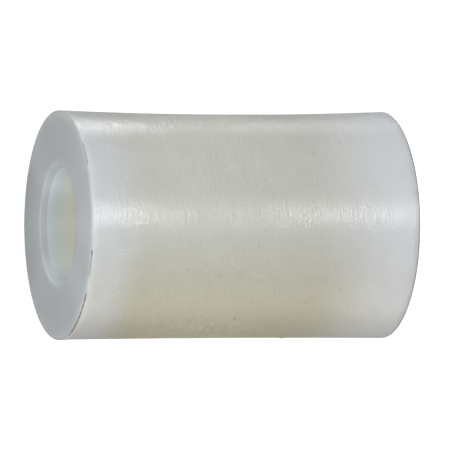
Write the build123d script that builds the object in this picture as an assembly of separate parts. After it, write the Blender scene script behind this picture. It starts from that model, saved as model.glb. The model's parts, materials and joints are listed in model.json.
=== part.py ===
from build123d import *
import os

# Round nylon spacer: one moulded sleeve with a plain bore right through it.
# It stands on its lower end face. The origin is where the bore's axis meets that face,
# +Z runs up the bore, and every size is in millimetres.

# The sleeve
outer_diameter = 12.7  # across the barrel at either end (1/2 in)
length = 19.05  # from end face to end face (3/4 in)
bore_diameter = 6.35  # across the bore's straight wall, for a 1/4 in screw

# The barrel, which shrinks inwards between its ends as the thick wall cools in the mould
waist_relief = 0.12  # how far in the barrel lies at mid-length, on the radius
rim_rounding = 0.06  # radius round the outer edge of each end face

# The lead-in cone at each mouth of the bore
lead_in_width = 0.19  # how much wider the mouth is than the bore, on the radius
lead_in_depth = 0.34  # how far the cone runs in from the end face
lead_in_rounding = 0.05  # radius round both edges of the cone


def barrel_line(barrel_radius):
    """The outer wall, a shallow inward arc from the lower rim to the upper one."""
    return ThreePointArc(
        (barrel_radius, 0),
        (barrel_radius - waist_relief, length / 2),
        (barrel_radius, length),
    )


def wall_section():
    """The wall to one side of the axis, with radius across and height up."""
    barrel_radius = outer_diameter / 2
    bore_radius = bore_diameter / 2
    mouth_radius = bore_radius + lead_in_width
    with BuildSketch(Plane.XZ) as section:
        with BuildLine():
            barrel_line(barrel_radius)
            Polyline(
                (barrel_radius, length),
                (mouth_radius, length),
                (bore_radius, length - lead_in_depth),
                (bore_radius, lead_in_depth),
                (mouth_radius, 0),
                (barrel_radius, 0),
            )
        make_face()
        corners = section.vertices().sort_by(Axis.X)
        fillet(corners[:4], radius=lead_in_rounding)
        fillet(corners[4:], radius=rim_rounding)
    return section.sketch


def spacer():
    """The whole sleeve, as its wall turned once about the bore's axis."""
    return revolve(wall_section(), axis=Axis.Z)


os.makedirs("parts", exist_ok=True)
export_step(spacer(), "parts/spacer.step")
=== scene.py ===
import json
import math

import bpy
import numpy as np
from mathutils import Matrix, Vector, noise


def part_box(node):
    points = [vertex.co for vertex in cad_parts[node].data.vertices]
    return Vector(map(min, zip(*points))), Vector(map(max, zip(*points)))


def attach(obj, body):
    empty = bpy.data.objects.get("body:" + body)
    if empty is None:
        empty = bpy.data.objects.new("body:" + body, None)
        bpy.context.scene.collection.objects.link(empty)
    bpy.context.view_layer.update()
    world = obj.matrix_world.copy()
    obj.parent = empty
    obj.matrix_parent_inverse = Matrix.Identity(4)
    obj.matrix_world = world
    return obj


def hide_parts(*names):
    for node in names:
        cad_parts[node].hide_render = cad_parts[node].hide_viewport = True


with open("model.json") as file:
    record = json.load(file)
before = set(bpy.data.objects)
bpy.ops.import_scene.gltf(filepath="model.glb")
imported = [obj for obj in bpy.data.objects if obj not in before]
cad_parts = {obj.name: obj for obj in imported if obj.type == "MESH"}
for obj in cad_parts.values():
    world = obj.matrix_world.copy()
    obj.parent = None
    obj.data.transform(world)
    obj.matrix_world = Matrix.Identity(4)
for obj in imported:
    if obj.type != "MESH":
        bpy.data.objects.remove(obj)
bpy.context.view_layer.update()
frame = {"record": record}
mm = 0.001
white = (1.0, 1.0, 1.0)

# the sleeve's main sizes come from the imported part, so the looks follow it
boreMount = next(mount for mount in frame["record"]["mounts"] if mount["name"] == "bore")
sleeveLow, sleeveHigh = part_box("spacer")
sleeveLength = sleeveHigh.z - sleeveLow.z
sleeveRadius = (sleeveHigh.x - sleeveLow.x) / 2
boreRadius = boreMount["dims"]["r_mm"] * mm
print("frame loaded: sleeve", round(sleeveRadius * 2 / mm, 2), "x", round(sleeveLength / mm, 2), "mm")

# the moulded sleeve: its wall's section turned round the bore, with what moulding and handling left on it

sleeve = {
    "columns": 384,  # steps round the axis
    "barrelRows": 132,
    "boreRows": 40,
    "faceRows": 14,
    "coneRows": 4,
    "roundingRows": 3,
    "rimRounding": 0.06 * mm,
    "coneWidth": 0.19 * mm,
    "coneDepth": 0.34 * mm,
    "coneRounding": 0.05 * mm,
    "waistRelief": 0.12 * mm,  # mean draw-in at mid-length
    "lopsidedSink": 0.068 * mm,  # extra draw-in towards +X, and less towards -X
    "faceDish": 0.012 * mm,  # how far an end face sinks between rim and mouth
    "dishMean": 0.6,  # how much of the dish there is on average
    # unevenness: how deep, how long and its seed
    "wallLumps": (0.010 * mm, 5.0 * mm, 3.1),
    "orangePeel": (0.0030 * mm, 0.65 * mm, 7.7),
    "dishWander": (0.8, 3.0 * mm, 1.3),  # the first is a share of the dish
    "mouthWander": (0.008 * mm, 1.5 * mm, 5.9),
    # shares of the wall's thickness, from 0 at the bore to 1 at the barrel
    "mouthUpTo": 0.1,
    "barrelFrom": 0.9,
    # bits of burr that stand out of the barrel: degrees round, height, width, how far they stand out
    "burrs": [
        (180, sleeveLength, 0.16 * mm, 0.055 * mm),
        (125, sleeveLength, 0.13 * mm, 0.035 * mm),
        (58, sleeveLength - 0.30 * mm, 0.12 * mm, 0.035 * mm),
        (24, sleeveLength, 0.12 * mm, 0.025 * mm),
        (-96, 0.4 * mm, 0.14 * mm, 0.030 * mm),
        (90, 5.9 * mm, 0.15 * mm, 0.045 * mm),
    ],
    "lip": 0.022 * mm,  # the upper rim's flare on its -X side
    "lipHeight": 0.35 * mm,
}


def arcPoints(corner, before, after, radius):
    # rounds the corner between two straight stretches
    corner, before, after = (np.array(point, float) for point in (corner, before, after))
    toBefore = (before - corner) / np.linalg.norm(before - corner)
    toAfter = (after - corner) / np.linalg.norm(after - corner)
    half = math.acos(float(np.clip(toBefore @ toAfter, -1, 1))) / 2
    inward = (toBefore + toAfter) / np.linalg.norm(toBefore + toAfter)
    middle = corner + inward * radius / math.sin(half)
    start = corner + toBefore * radius / math.tan(half)
    end = corner + toAfter * radius / math.tan(half)
    startAngle = math.atan2(*(start - middle)[::-1])
    turn = math.atan2(*(end - middle)[::-1]) - startAngle
    turn = (turn + math.pi) % (2 * math.pi) - math.pi
    rows = sleeve["roundingRows"]
    steps = [startAngle + turn * i / rows for i in range(rows + 1)]
    return [middle + radius * np.array([math.cos(step), math.sin(step)]) for step in steps]


def straightPoints(start, end, rows):
    # the points between two ends, without the ends themselves
    return [start + (end - start) * i / rows for i in range(1, rows)]


def wallSection():
    # the wall's outline as rows of (radius, height) and region, up the bore and down the barrel
    mouth = boreRadius + sleeve["coneWidth"]
    coneDepth, coneRounding = sleeve["coneDepth"], sleeve["coneRounding"]
    # each corner, its rounding, and the stretch that follows it
    corners = [
        ((boreRadius, coneDepth), coneRounding, "bore"),
        ((boreRadius, sleeveLength - coneDepth), coneRounding, "cone"),
        ((mouth, sleeveLength), coneRounding, "face"),
        ((sleeveRadius, sleeveLength), sleeve["rimRounding"], "barrel"),
        ((sleeveRadius, 0), sleeve["rimRounding"], "face"),
        ((mouth, 0), coneRounding, "cone"),
    ]
    rounded = []
    for n, (corner, radius, _) in enumerate(corners):
        before, after = corners[n - 1][0], corners[(n + 1) % len(corners)][0]
        rounded.append(arcPoints(corner, before, after, radius))
    rows = []
    for n, (_, _, region) in enumerate(corners):
        rows += [(point, "edge") for point in rounded[n]]
        nextStart = rounded[(n + 1) % len(corners)][0]
        straight = straightPoints(rounded[n][-1], nextStart, sleeve[region + "Rows"])
        rows += [(point, region) for point in straight]
    return rows


def unevenness(spot, depth, length, seed):
    return depth * noise.noise(Vector(spot) / length + Vector((seed, -seed, 2 * seed)))


def burrHeight(x, y, z):
    # how far the burr and the rim's lip stand out of the barrel at a spot
    turned = math.atan2(-x, -y)  # the angle round the axis, from 0 at the front (-Y) up towards -X
    flare = max(0.0, math.sin(turned)) ** 2
    out = sleeve["lip"] * flare * math.exp(-(((sleeveLength - z) / sleeve["lipHeight"]) ** 2))
    for degrees, height, width, tall in sleeve["burrs"]:
        apart = (turned - math.radians(degrees) + math.pi) % (2 * math.pi) - math.pi
        away = math.hypot(apart * sleeveRadius, z - height)
        out += tall * math.exp(-((2 * away / width) ** 2))
    return out


def skinPoint(radius, height, region, angle):
    # one point of the section, turned to its angle and moved by what moulding and handling left
    spot = (radius * math.cos(angle), radius * math.sin(angle), height)
    share = max(0.0, min(1.0, (radius - boreRadius) / (sleeveRadius - boreRadius)))
    r, z = radius, height
    if share > sleeve["barrelFrom"]:
        bow = 1 - (height / sleeveLength * 2 - 1) ** 2
        r -= bow * (sleeve["waistRelief"] + sleeve["lopsidedSink"] * math.cos(angle))
        r += bow * unevenness(spot, *sleeve["wallLumps"])
        if region == "barrel":
            r += unevenness(spot, *sleeve["orangePeel"])
        r += burrHeight(*spot)
    if region == "face":
        inset = sleeve["faceDish"] * math.sin(math.pi * share) ** 2
        inset *= sleeve["dishMean"] + unevenness(spot, *sleeve["dishWander"])
        z += inset if height < sleeveLength / 2 else -inset
    if share < sleeve["mouthUpTo"]:
        r += unevenness(spot, *sleeve["mouthWander"])
    return r * math.cos(angle), r * math.sin(angle), z


def sleeveMesh():
    rows = wallSection()
    columns, count = sleeve["columns"], len(rows)
    angles = np.arange(columns) * 2 * math.pi / columns
    verts = [skinPoint(*point, region, angle) for point, region in rows for angle in angles]
    faces = []
    for i in range(count):
        below, above = i * columns, (i + 1) % count * columns
        for j in range(columns):
            k = (j + 1) % columns
            faces.append((below + j, above + j, above + k, below + k))
    mesh = bpy.data.meshes.new("sleeve")
    mesh.from_pydata(verts, [], faces)
    mesh.shade_smooth()
    mesh.validate()
    print("sleeve mesh:", len(verts), "points,", len(faces) * 2, "triangles")
    return mesh


# helpers that add shader nodes to a tree and link them


def addNode(tree, kind, **values):
    node = tree.nodes.new(kind)
    for name, value in values.items():
        setattr(node, name, value)
    return node


def feed(tree, socket, value):
    # links a socket to another one, or sets its own value
    if isinstance(value, bpy.types.NodeSocket):
        tree.links.new(value, socket)
    elif isinstance(value, tuple) and len(value) == 3 and socket.type == "RGBA":
        socket.default_value = (*value, 1.0)
    else:
        socket.default_value = value


def feedAll(tree, node, values):
    for name, value in values.items():
        feed(tree, node.inputs[name], value)


def mathNode(tree, operation, *values):
    node = addNode(tree, "ShaderNodeMath", operation=operation)
    for socket, value in zip(node.inputs, values):
        feed(tree, socket, value)
    return node.outputs[0]


def vectorNode(tree, operation, *values):
    node = addNode(tree, "ShaderNodeVectorMath", operation=operation)
    for socket, value in zip(node.inputs, values):
        feed(tree, socket, value)
    return node


def joinNode(tree, *values):
    node = addNode(tree, "ShaderNodeCombineXYZ")
    for socket, value in zip(node.inputs, values):
        feed(tree, socket, value)
    return node.outputs[0]


def splitNode(tree, vector):
    node = addNode(tree, "ShaderNodeSeparateXYZ")
    feed(tree, node.inputs[0], vector)
    return node.outputs


def rampNode(tree, value, start, end, low=0.0, high=1.0):
    # goes smoothly from low to high as the value goes from start to end
    node = addNode(tree, "ShaderNodeMapRange", interpolation_type="SMOOTHSTEP")
    for socket, given in zip(node.inputs, (value, start, end, low, high)):
        feed(tree, socket, given)
    return node.outputs[0]


def stretchNode(tree, value, start, end, fade):
    # 1 from start to end and 0 past them
    begins = rampNode(tree, value, start - fade, start + fade)
    ends = rampNode(tree, value, end - fade, end + fade, 1.0, 0.0)
    return mathNode(tree, "MULTIPLY", begins, ends)


def noiseNode(tree, place, across, along, detail, shift):
    # noise with grains of one size across the axis and another along it
    perMetre = (1 / across, 1 / across, 1 / along)
    grains = vectorNode(tree, "MULTIPLY_ADD", place, perMetre, (shift, shift, shift))
    node = addNode(tree, "ShaderNodeTexNoise")
    feedAll(tree, node, {"Vector": grains.outputs[0], "Scale": 1.0, "Detail": detail})
    return node.outputs["Fac"]


def bumpNode(tree, height, depth, strength, normal=None):
    node = addNode(tree, "ShaderNodeBump")
    feedAll(tree, node, {"Height": height, "Distance": depth, "Strength": strength})
    if normal is not None:
        feed(tree, node.inputs["Normal"], normal)
    return node.outputs[0]


def blendNode(tree, amount, first, second, mode="MIX"):
    # blends two colours
    node = addNode(tree, "ShaderNodeMix", data_type="RGBA", blend_type=mode)
    feed(tree, node.inputs["Factor"], amount)
    for name, colour in (("A", first), ("B", second)):
        feed(tree, next(s for s in node.inputs if s.name == name and s.type == "RGBA"), colour)
    return next(s for s in node.outputs if s.type == "RGBA")


def blendFloat(tree, amount, first, second):
    # blends two numbers, whose sockets come after the node's two factors
    node = addNode(tree, "ShaderNodeMix", data_type="FLOAT")
    for socket, value in zip(node.inputs[0:1] + node.inputs[2:4], (amount, first, second)):
        feed(tree, socket, value)
    return node.outputs[0]


# the marks on the sleeve: painted shadow and dirt under the upper rim, rubbed places, scratches and specks

marks = {
    # painted shadow and dirt under the upper rim, beneath its lip and burrs: from and to in degrees round,
    # and how dark
    "rimShadowAndDirt": [(36, 72, 0.92), (12.5, 15.5, 0.95), (15.5, 26, 0.45), (-45, -31, 0.5)],
    "rimShadowDrop": 0.045 * mm,  # below the end face
    "rimShadowHalfWidth": (0.0186 * mm, 0.0434 * mm),  # full up to the first, gone at the second
    "rimShadowFade": 0.8,  # degrees
    "lineBreakSize": 0.5 * mm,
    "lineBreaks": (0.30, 0.52),  # the line is gone where its noise is under the first, and whole over the second
    # places rubbed smoother: degrees round, height, length round, length along, how much
    "rubbed": [
        (-58, 9.6 * mm, 1.6 * mm, 2.6 * mm, 0.34),
        (-58, 13.6 * mm, 1.6 * mm, 3.2 * mm, 0.16),
        (-5, 13.3 * mm, 2.0 * mm, 1.0 * mm, 0.16),
        (-5, 16.6 * mm, 3.0 * mm, 1.8 * mm, 0.10),
    ],
    # faint scratches along the barrel: degrees round, from and to in height
    "scratches": [
        (12.4, 16.5 * mm, 17.8 * mm),
        (14.8, 16.8 * mm, 17.6 * mm),
    ],
    "scratchHalfWidth": 0.04 * mm,
    "scratchFade": 0.08 * mm,
    "scratchPaleness": 0.12,
    # specks in the barrel's skin: degrees round, height, size, how dark
    "specks": [
        (-59, 8.2 * mm, 0.12 * mm, 0.55),
        (-47, 4.0 * mm, 0.14 * mm, 0.35),
        (-40, 5.7 * mm, 0.12 * mm, 0.35),
        (-25, 17.1 * mm, 0.15 * mm, 0.18),
        (14, 13.8 * mm, 0.10 * mm, 0.20),
        (19, 8.8 * mm, 0.13 * mm, 0.18),
        (23, 13.4 * mm, 0.14 * mm, 0.30),
        (33, 17.2 * mm, 0.14 * mm, 0.20),
        (35, 4.3 * mm, 0.15 * mm, 0.25),
        (43, 6.1 * mm, 0.14 * mm, 0.25),
        (56, 9.9 * mm, 0.18 * mm, 0.40),
        (90, 5.9 * mm, 0.16 * mm, 0.85),
    ],
    "speckEdge": (0.2, 0.7),  # how far from its middle a speck begins to fade and is gone, in its sizes
    "dirtAndShadowReach": (0.90 * sleeveRadius, 0.95 * sleeveRadius),  # no specks nor painted rim shadow nearer the axis than this
    # the colour of the specks and of the painted shadow and dirt under the rim
    "dirtAndShadowColour": (0.035, 0.032, 0.028),
}


def rubbedNode(tree, spot):
    # how much rubbing has smoothed each place, from 0 to 1
    rubbed = 0.0
    for degrees, height, around, along, amount in marks["rubbed"]:
        offRound = mathNode(tree, "SUBTRACT", spot["turned"], math.radians(degrees))
        offRound = mathNode(tree, "MULTIPLY", offRound, 2 * sleeveRadius / around)
        offAlong = mathNode(tree, "SUBTRACT", spot["z"], height)
        offAlong = mathNode(tree, "MULTIPLY", offAlong, 2 / along)
        squares = [mathNode(tree, "POWER", off, 2.0) for off in (offRound, offAlong)]
        patch = rampNode(tree, mathNode(tree, "ADD", *squares), 1.0, 0.0, 0.0, amount)
        rubbed = mathNode(tree, "MAXIMUM", rubbed, patch)
    return rubbed


def scratchNode(tree, spot):
    # how far each place is whitened by a scratch
    scratched = 0.0
    for degrees, start, end in marks["scratches"]:
        off = mathNode(tree, "SUBTRACT", spot["turned"], math.radians(degrees))
        off = mathNode(tree, "MULTIPLY", mathNode(tree, "ABSOLUTE", off), sleeveRadius)
        line = rampNode(tree, off, marks["scratchHalfWidth"], 0.0)
        stretch = stretchNode(tree, spot["z"], start, end, marks["scratchFade"])
        scratched = mathNode(tree, "MAXIMUM", scratched, mathNode(tree, "MULTIPLY", line, stretch))
    return mathNode(tree, "MULTIPLY", scratched, marks["scratchPaleness"])


def speckNode(tree, unrolled):
    # the specks in the barrel's skin
    darkness = 0.0
    for degrees, height, size, dark in marks["specks"]:
        away = vectorNode(tree, "DISTANCE", unrolled, (math.radians(degrees) * sleeveRadius, height, 0))
        full, gone = (share * size for share in marks["speckEdge"])
        speck = rampNode(tree, away.outputs["Value"], full, gone, dark, 0.0)
        darkness = mathNode(tree, "MAXIMUM", darkness, speck)
    return darkness


def rimShadowAndDirtNode(tree, spot, unrolled):
    # the broken dark line under the upper rim: painted shadow under the rim's lip and burrs, with dirt in it
    fromLine = mathNode(tree, "SUBTRACT", spot["z"], sleeveLength - marks["rimShadowDrop"])
    fromLine = mathNode(tree, "ABSOLUTE", fromLine)
    line = rampNode(tree, fromLine, *marks["rimShadowHalfWidth"], 1.0, 0.0)
    lineBreaks = addNode(tree, "ShaderNodeTexNoise")
    feedAll(tree, lineBreaks, {"Vector": unrolled, "Scale": 1 / marks["lineBreakSize"]})
    broken = rampNode(tree, lineBreaks.outputs["Fac"], *marks["lineBreaks"])
    darkness = 0.0
    for start, end, dark in marks["rimShadowAndDirt"]:
        places = (math.radians(degrees) for degrees in (start, end, marks["rimShadowFade"]))
        lineStretch = stretchNode(tree, spot["turned"], *places)
        for factor in (dark, line, broken):
            lineStretch = mathNode(tree, "MULTIPLY", lineStretch, factor)
        darkness = mathNode(tree, "MAXIMUM", darkness, lineStretch)
    return darkness


def dirtAndShadowNode(tree, spot):
    # how dark each place is made by the specks and by the painted shadow and dirt under the upper rim, from
    # 0 to 1
    unrolled = joinNode(tree, mathNode(tree, "MULTIPLY", spot["turned"], sleeveRadius), spot["z"])
    darkness = mathNode(tree, "MAXIMUM", speckNode(tree, unrolled), rimShadowAndDirtNode(tree, spot, unrolled))
    onBarrel = rampNode(tree, spot["fromAxis"], *marks["dirtAndShadowReach"])
    return mathNode(tree, "MULTIPLY", darkness, onBarrel)


# natural nylon: milky and slightly see-through, warmer in the thick middle; its barrel is painted whiter and
# bluer near the ends, as painted light let in through the end faces

nylon = {
    "middleColour": (0.528, 0.532, 0.490),
    "shadedSideColour": (0.496, 0.464, 0.342),  # painted shade: the -X side is painted darker and yellower
    # near the ends: painted light, whiter and bluer for the light let in through the end faces and, at the
    # lower end, thrown up by the floor; the second colour of each pair also carries the painted shade
    # towards -X
    "upperEndColour": (0.556, 0.578, 0.588),
    "upperEndShadedColour": (0.590, 0.586, 0.555),
    "lowerEndColour": (0.622, 0.644, 0.668),
    "lowerEndShadedColour": (0.645, 0.640, 0.622),
    "faceColour": (0.555, 0.590, 0.605),
    # painted shade on the end faces' back (+Y) side
    "shadedBackFaceColour": (0.465, 0.500, 0.520),
    # painted shade on the rounded rims
    "shadedRimColour": (0.400, 0.420, 0.430),
    "coneColour": (0.465, 0.495, 0.515),
    # painted light on the cones' -X side, which faces the lamps at +X
    "litConeColour": (0.610, 0.660, 0.680),
    # painted light: the bore is painted paler than the rest of the nylon, and paler and yellower still
    # deeper in, where it would lie in shade
    "litBoreColour": (0.640, 0.700, 0.735),
    "litDeepBoreColour": (0.860, 0.865, 0.770),
    "upperEndRoughness": 0.30,
    "lowerEndRoughness": 0.33,
    "middleRoughness": 0.66,
    "smoothest": 0.28,  # no spot of the barrel is smoother than this
    "faceRoughness": 0.50,
    "rimRoughness": 0.80,
    # how much these vary the colour and the roughness, as shares of them
    "clouding": 0.012,
    "grooveContrast": 0.45,
    "grainContrast": 0.38,
    # how deep the bumps are
    "grooveDepth": 0.022 * mm,
    "grainDepth": 0.020 * mm,
    # noises: size across the axis, size along it, detail, shift
    "clouds": (1.6 * mm, 1.6 * mm, 3.0, 9.0),
    "grooves": (0.9 * mm, 0.11 * mm, 1.0, 0.0),
    "grains": (0.12 * mm, 0.12 * mm, 1.0, 4.0),
    # what is the same all over, by the shader's own names
    "shader": {
        "IOR": 1.53,
        "Specular IOR Level": 1.0,
        "Anisotropic": 0.95,
        "Anisotropic Rotation": 0.25,
        "Subsurface Weight": 1.0,
        "Subsurface Radius": (1.0, 0.95, 0.85),
        "Subsurface Scale": 1.2 * mm,
    },
}

# where each look begins and where it is full
bands = {
    # heights
    # painted light near the ends
    "upperEnd": (sleeveLength - 3.4 * mm, sleeveLength - 1.0 * mm),
    "lowerEnd": (6.3 * mm, 0.7 * mm),
    "upperEndSkin": (sleeveLength - 7.25 * mm, sleeveLength - 1.05 * mm),
    "lowerEndSkin": (11.0 * mm, 6.5 * mm),
    # along X
    # painted shade, darker and yellower towards -X
    "shadedSide": (0.05 * sleeveRadius, -0.95 * sleeveRadius),
    # painted light on the cones' -X side
    "litCone": (-0.45 * boreRadius, -0.95 * boreRadius),
    # along Y
    # painted shade on the end faces' back side
    "shadedBackFace": (0.5 * sleeveRadius, sleeveRadius),
    # from the nearer end face
    "face": (0.16 * mm, 0.06 * mm),
    # painted shade on the rims
    "rim": (0.10 * mm, 0.05 * mm),
    "offRim": (0.05 * mm, 0.12 * mm),
    "pastCone": (0.30 * mm, 0.42 * mm),
    # painted light deep in the bore
    "deepBore": (0.4 * mm, 2.0 * mm),
    # from the axis
    "inside": (boreRadius + 0.30 * mm, boreRadius + 0.15 * mm),
    "outside": (boreRadius + 1.0 * mm, boreRadius + 1.2 * mm),
    "rimEdge": (sleeveRadius - 0.14 * mm, sleeveRadius - 0.06 * mm),
    "roughRim": (sleeveRadius - 0.10 * mm, sleeveRadius - 0.03 * mm),
    # in the noises, which go from 0 to 1
    "clouds": (0.25, 0.75),
    "groove": (0.30, 0.70),
    "grain": (0.35, 0.65),
}


def spotNodes(tree):
    # what the material knows about each spot of the sleeve
    place = addNode(tree, "ShaderNodeTexCoord").outputs["Object"]
    x, y, z = splitNode(tree, place)
    minusX, minusY = (mathNode(tree, "MULTIPLY", value, -1.0) for value in (x, y))
    return {
        "place": place,
        "x": x,
        "y": y,
        "z": z,
        "turned": mathNode(tree, "ARCTAN2", minusX, minusY),  # from 0 at the front up towards -X
        "fromAxis": vectorNode(tree, "LENGTH", joinNode(tree, x, y)).outputs["Value"],
        "fromFace": mathNode(tree, "MINIMUM", z, mathNode(tree, "SUBTRACT", sleeveLength, z)),
    }


def barrelColour(tree, spot):
    # painted shade: the barrel is painted darker and yellower towards -X
    shadedSide = rampNode(tree, spot["x"], *bands["shadedSide"])
    colour = blendNode(tree, shadedSide, nylon["middleColour"], nylon["shadedSideColour"])
    # painted light: the barrel is painted whiter and bluer towards each end
    for end in ("upperEnd", "lowerEnd"):
        endColour = blendNode(tree, shadedSide, nylon[end + "Colour"], nylon[end + "ShadedColour"])
        colour = blendNode(tree, rampNode(tree, spot["z"], *bands[end]), colour, endColour)
    return colour


def addFaces(tree, spot, colour):
    # the end faces, with painted shade towards their back (+Y) side and on their rims
    shadedBack = rampNode(tree, spot["y"], *bands["shadedBackFace"])
    faceColour = blendNode(tree, shadedBack, nylon["faceColour"], nylon["shadedBackFaceColour"])
    colour = blendNode(tree, rampNode(tree, spot["fromFace"], *bands["face"]), colour, faceColour)
    # painted shade on the rims
    shadedRim = rampNode(tree, spot["fromFace"], *bands["rim"])
    shadedRim = mathNode(tree, "MULTIPLY", shadedRim, rampNode(tree, spot["fromAxis"], *bands["rimEdge"]))
    return blendNode(tree, shadedRim, colour, nylon["shadedRimColour"])


def addBore(tree, spot, colour):
    # the lead-in cones and the bore, with painted light on the cones' -X side and in the bore
    litSide = rampNode(tree, spot["x"], *bands["litCone"])
    coneColour = blendNode(tree, litSide, nylon["coneColour"], nylon["litConeColour"])
    # painted light in the bore, paler deeper in
    deep = rampNode(tree, spot["fromFace"], *bands["deepBore"])
    litBoreColour = blendNode(tree, deep, nylon["litBoreColour"], nylon["litDeepBoreColour"])
    pastCone = rampNode(tree, spot["fromFace"], *bands["pastCone"])
    litBoreColour = blendNode(tree, pastCone, coneColour, litBoreColour)
    return blendNode(tree, rampNode(tree, spot["fromAxis"], *bands["inside"]), colour, litBoreColour)


def addClouds(tree, spot, colour):
    # the milkiness varies a little from place to place
    clouds = rampNode(tree, noiseNode(tree, spot["place"], *nylon["clouds"]), *bands["clouds"])
    shade = rampNode(tree, clouds, 0.0, 1.0, 1 - nylon["clouding"], 1 + nylon["clouding"])
    return blendNode(tree, 1.0, colour, shade, "MULTIPLY")


def addMarks(tree, spot, colour):
    colour = blendNode(tree, scratchNode(tree, spot), colour, white)
    # the specks, and the painted shadow and dirt under the upper rim
    return blendNode(tree, dirtAndShadowNode(tree, spot), colour, marks["dirtAndShadowColour"])


def roughnessNode(tree, spot, onBarrel, groove, grain):
    # the barrel's skin is crisp at the ends, and duller where it shrank from the mould
    skins = []
    for end in ("upperEnd", "lowerEnd"):
        crisp = rampNode(tree, spot["z"], *bands[end + "Skin"])
        skins.append(rampNode(tree, crisp, 0.0, 1.0, nylon["middleRoughness"], nylon[end + "Roughness"]))
    rough = mathNode(tree, "MINIMUM", *skins)
    for name, height in (("groove", groove), ("grain", grain)):
        contrast = nylon[name + "Contrast"]
        factor = rampNode(tree, height, *bands[name], 1 + contrast, 1 - contrast)
        rough = mathNode(tree, "MULTIPLY", rough, factor)
    unrubbed = mathNode(tree, "SUBTRACT", 1.0, rubbedNode(tree, spot))
    rough = mathNode(tree, "MULTIPLY", rough, unrubbed)
    rough = mathNode(tree, "MAXIMUM", rough, nylon["smoothest"])
    ends = (nylon["faceRoughness"], nylon["rimRoughness"])
    offBarrel = rampNode(tree, spot["fromAxis"], *bands["roughRim"], *ends)
    return blendFloat(tree, onBarrel, offBarrel, rough)


def nylonMaterial():
    material = bpy.data.materials.new("naturalNylon")
    material.use_nodes = True
    tree = material.node_tree
    spot = spotNodes(tree)
    colour = barrelColour(tree, spot)
    for addLook in (addFaces, addBore, addClouds, addMarks):
        colour = addLook(tree, spot, colour)
    # the grooves and the grain are only on the barrel
    onBarrel = rampNode(tree, spot["fromFace"], *bands["offRim"])
    onBarrel = mathNode(tree, "MULTIPLY", onBarrel, rampNode(tree, spot["fromAxis"], *bands["outside"]))
    groove = noiseNode(tree, spot["place"], *nylon["grooves"])
    grain = noiseNode(tree, spot["place"], *nylon["grains"])
    bumps = bumpNode(tree, groove, nylon["grooveDepth"], onBarrel)
    bumps = bumpNode(tree, grain, nylon["grainDepth"], onBarrel, bumps)
    roundTheAxis = addNode(tree, "ShaderNodeTangent", direction_type="RADIAL", axis="Z")
    shader = tree.nodes["Principled BSDF"]
    feedAll(tree, shader, nylon["shader"])
    feedAll(tree, shader, {
        "Base Color": colour,
        "Roughness": roughnessNode(tree, spot, onBarrel, groove, grain),
        "Normal": bumps,
        "Tangent": roundTheAxis.outputs[0],
    })
    print("nylon:", len(tree.nodes), "nodes")
    return material


spacer = bpy.data.objects.new("moulded_sleeve", sleeveMesh())
bpy.context.scene.collection.objects.link(spacer)
spacer.data.materials.append(nylonMaterial())
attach(spacer, "root")
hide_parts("spacer")

# the studio: a pale floor, a sky that is brighter in front, and soft boxes standing round the sleeve

studio = {
    "floorSize": 12.0,
    "floorGlow": 0.8,  # only brightens the floor as the camera sees it, and lights nothing
    "floorShader": {
        "Base Color": (0.55, 0.55, 0.55),
        "Roughness": 0.9,
        "Specular IOR Level": 0.0,
        "Emission Color": white,
    },
    "skyFront": 0.71,  # how strongly the sky lights the sleeve from -Y and from +Y
    "skyBack": 0.13,
    "backdrop": 1.0,  # how white the sky itself looks
    # degrees round from the front towards +X, degrees up, distance, width, height, power in watts
    "lamps": {
        "frontStrip": (11.0, -2, 0.12, 0.030, 0.008, 0.046),
        "rightStrip": (112.7, -7, 0.045, 0.016, 0.012, 0.0036),
        "frontFill": (20, 25, 0.60, 0.50, 0.30, 0.12),
        "rightFill": (85, 25, 0.60, 0.40, 0.30, 0.54),
        "leftFill": (-88, 20, 0.60, 0.40, 0.40, 1.20),
        "faceBox": (0, 50, 0.035, 0.016, 0.016, 0.0021),
    },
}


def seenNode(tree):
    # 1 where the camera looks straight at something, 0 where light bounces to it
    return addNode(tree, "ShaderNodeLightPath").outputs["Is Camera Ray"]


def makeFloor():
    half = studio["floorSize"] / 2
    corners = [(-half, -half, 0), (half, -half, 0), (half, half, 0), (-half, half, 0)]
    mesh = bpy.data.meshes.new("floor")
    mesh.from_pydata(corners, [], [(0, 1, 2, 3)])
    floor = bpy.data.objects.new("floor", mesh)
    bpy.context.scene.collection.objects.link(floor)
    material = bpy.data.materials.new("palePaper")
    material.use_nodes = True
    tree = material.node_tree
    shader = tree.nodes["Principled BSDF"]
    feedAll(tree, shader, studio["floorShader"])
    glow = mathNode(tree, "MULTIPLY", seenNode(tree), studio["floorGlow"])
    feed(tree, shader.inputs["Emission Strength"], glow)
    mesh.materials.append(material)


def makeSky():
    world = bpy.data.worlds.new("studio")
    bpy.context.scene.world = world
    world.use_nodes = True
    tree = world.node_tree
    direction = splitNode(tree, addNode(tree, "ShaderNodeTexCoord").outputs["Generated"])
    light = rampNode(tree, direction["Y"], -1.0, 1.0, studio["skyFront"], studio["skyBack"])
    strength = blendFloat(tree, seenNode(tree), light, studio["backdrop"])
    feedAll(tree, tree.nodes["Background"], {"Color": white, "Strength": strength})


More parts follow.
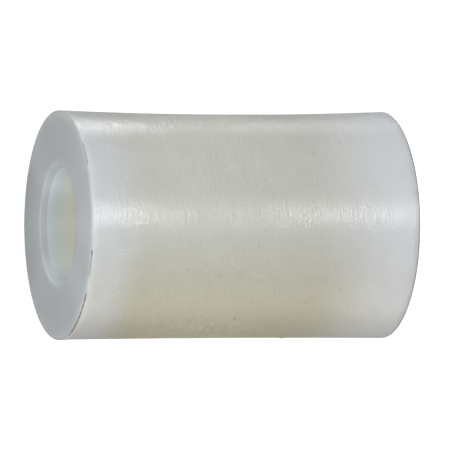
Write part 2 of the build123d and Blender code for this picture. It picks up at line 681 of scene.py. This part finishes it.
def softBox(name, around, up, distance, width, height, power):
    light = bpy.data.lights.new(name, "AREA")
    light.shape = "RECTANGLE"
    light.size, light.size_y = width, height
    light.energy = power
    lamp = bpy.data.objects.new(name, light)
    bpy.context.scene.collection.objects.link(lamp)
    around, up = math.radians(around), math.radians(up)
    away = Vector((math.sin(around) * math.cos(up), -math.cos(around) * math.cos(up), math.sin(up)))
    lamp.location = Vector((0, 0, sleeveLength / 2)) + away * distance
    lamp.rotation_mode = "QUATERNION"
    lamp.rotation_quaternion = away.to_track_quat("Z", "Y")
    lamp.visible_camera = False


makeFloor()
makeSky()
for lampName, lampValues in studio["lamps"].items():
    softBox(lampName, *lampValues)
print("studio: floor, sky and", len(studio["lamps"]), "lamps")

# the camera looks down on the upper end face, turned a quarter so that the sleeve lies along the frame

camera = {
    "aboveHorizon": 18.75,  # degrees
    "distance": 30.3 * 2 * sleeveRadius,
    "frameWidth": 1.9755 * 2 * sleeveRadius,  # how much the frame takes in at the sleeve
    "aimBelow": 0.0199 * 2 * sleeveRadius,  # below mid-length
    "sensorWidth": 36.0,  # in millimetres, like the lens
    "clipStart": 0.01,
    "clipEnd": 50.0,
}


def makeCamera():
    tilt = math.radians(camera["aboveHorizon"])
    forward = Vector((0, math.cos(tilt), -math.sin(tilt)))
    up = Vector((1, 0, 0))
    right = forward.cross(up)
    data = bpy.data.cameras.new("camera")
    data.sensor_width = camera["sensorWidth"]
    data.lens = camera["sensorWidth"] * camera["distance"] / camera["frameWidth"]
    data.clip_start, data.clip_end = camera["clipStart"], camera["clipEnd"]
    eye = bpy.data.objects.new("camera", data)
    bpy.context.scene.collection.objects.link(eye)
    aim = Vector((0, 0, sleeveLength / 2 - camera["aimBelow"]))
    axes = Matrix((right, up, -forward)).transposed()
    eye.matrix_world = Matrix.Translation(aim - forward * camera["distance"]) @ axes.to_4x4()
    bpy.context.scene.camera = eye
    print("camera:", round(data.lens), "mm lens,", round(camera["distance"] / mm), "mm away")


makeCamera()
bpy.context.scene.view_settings.view_transform = "Standard"
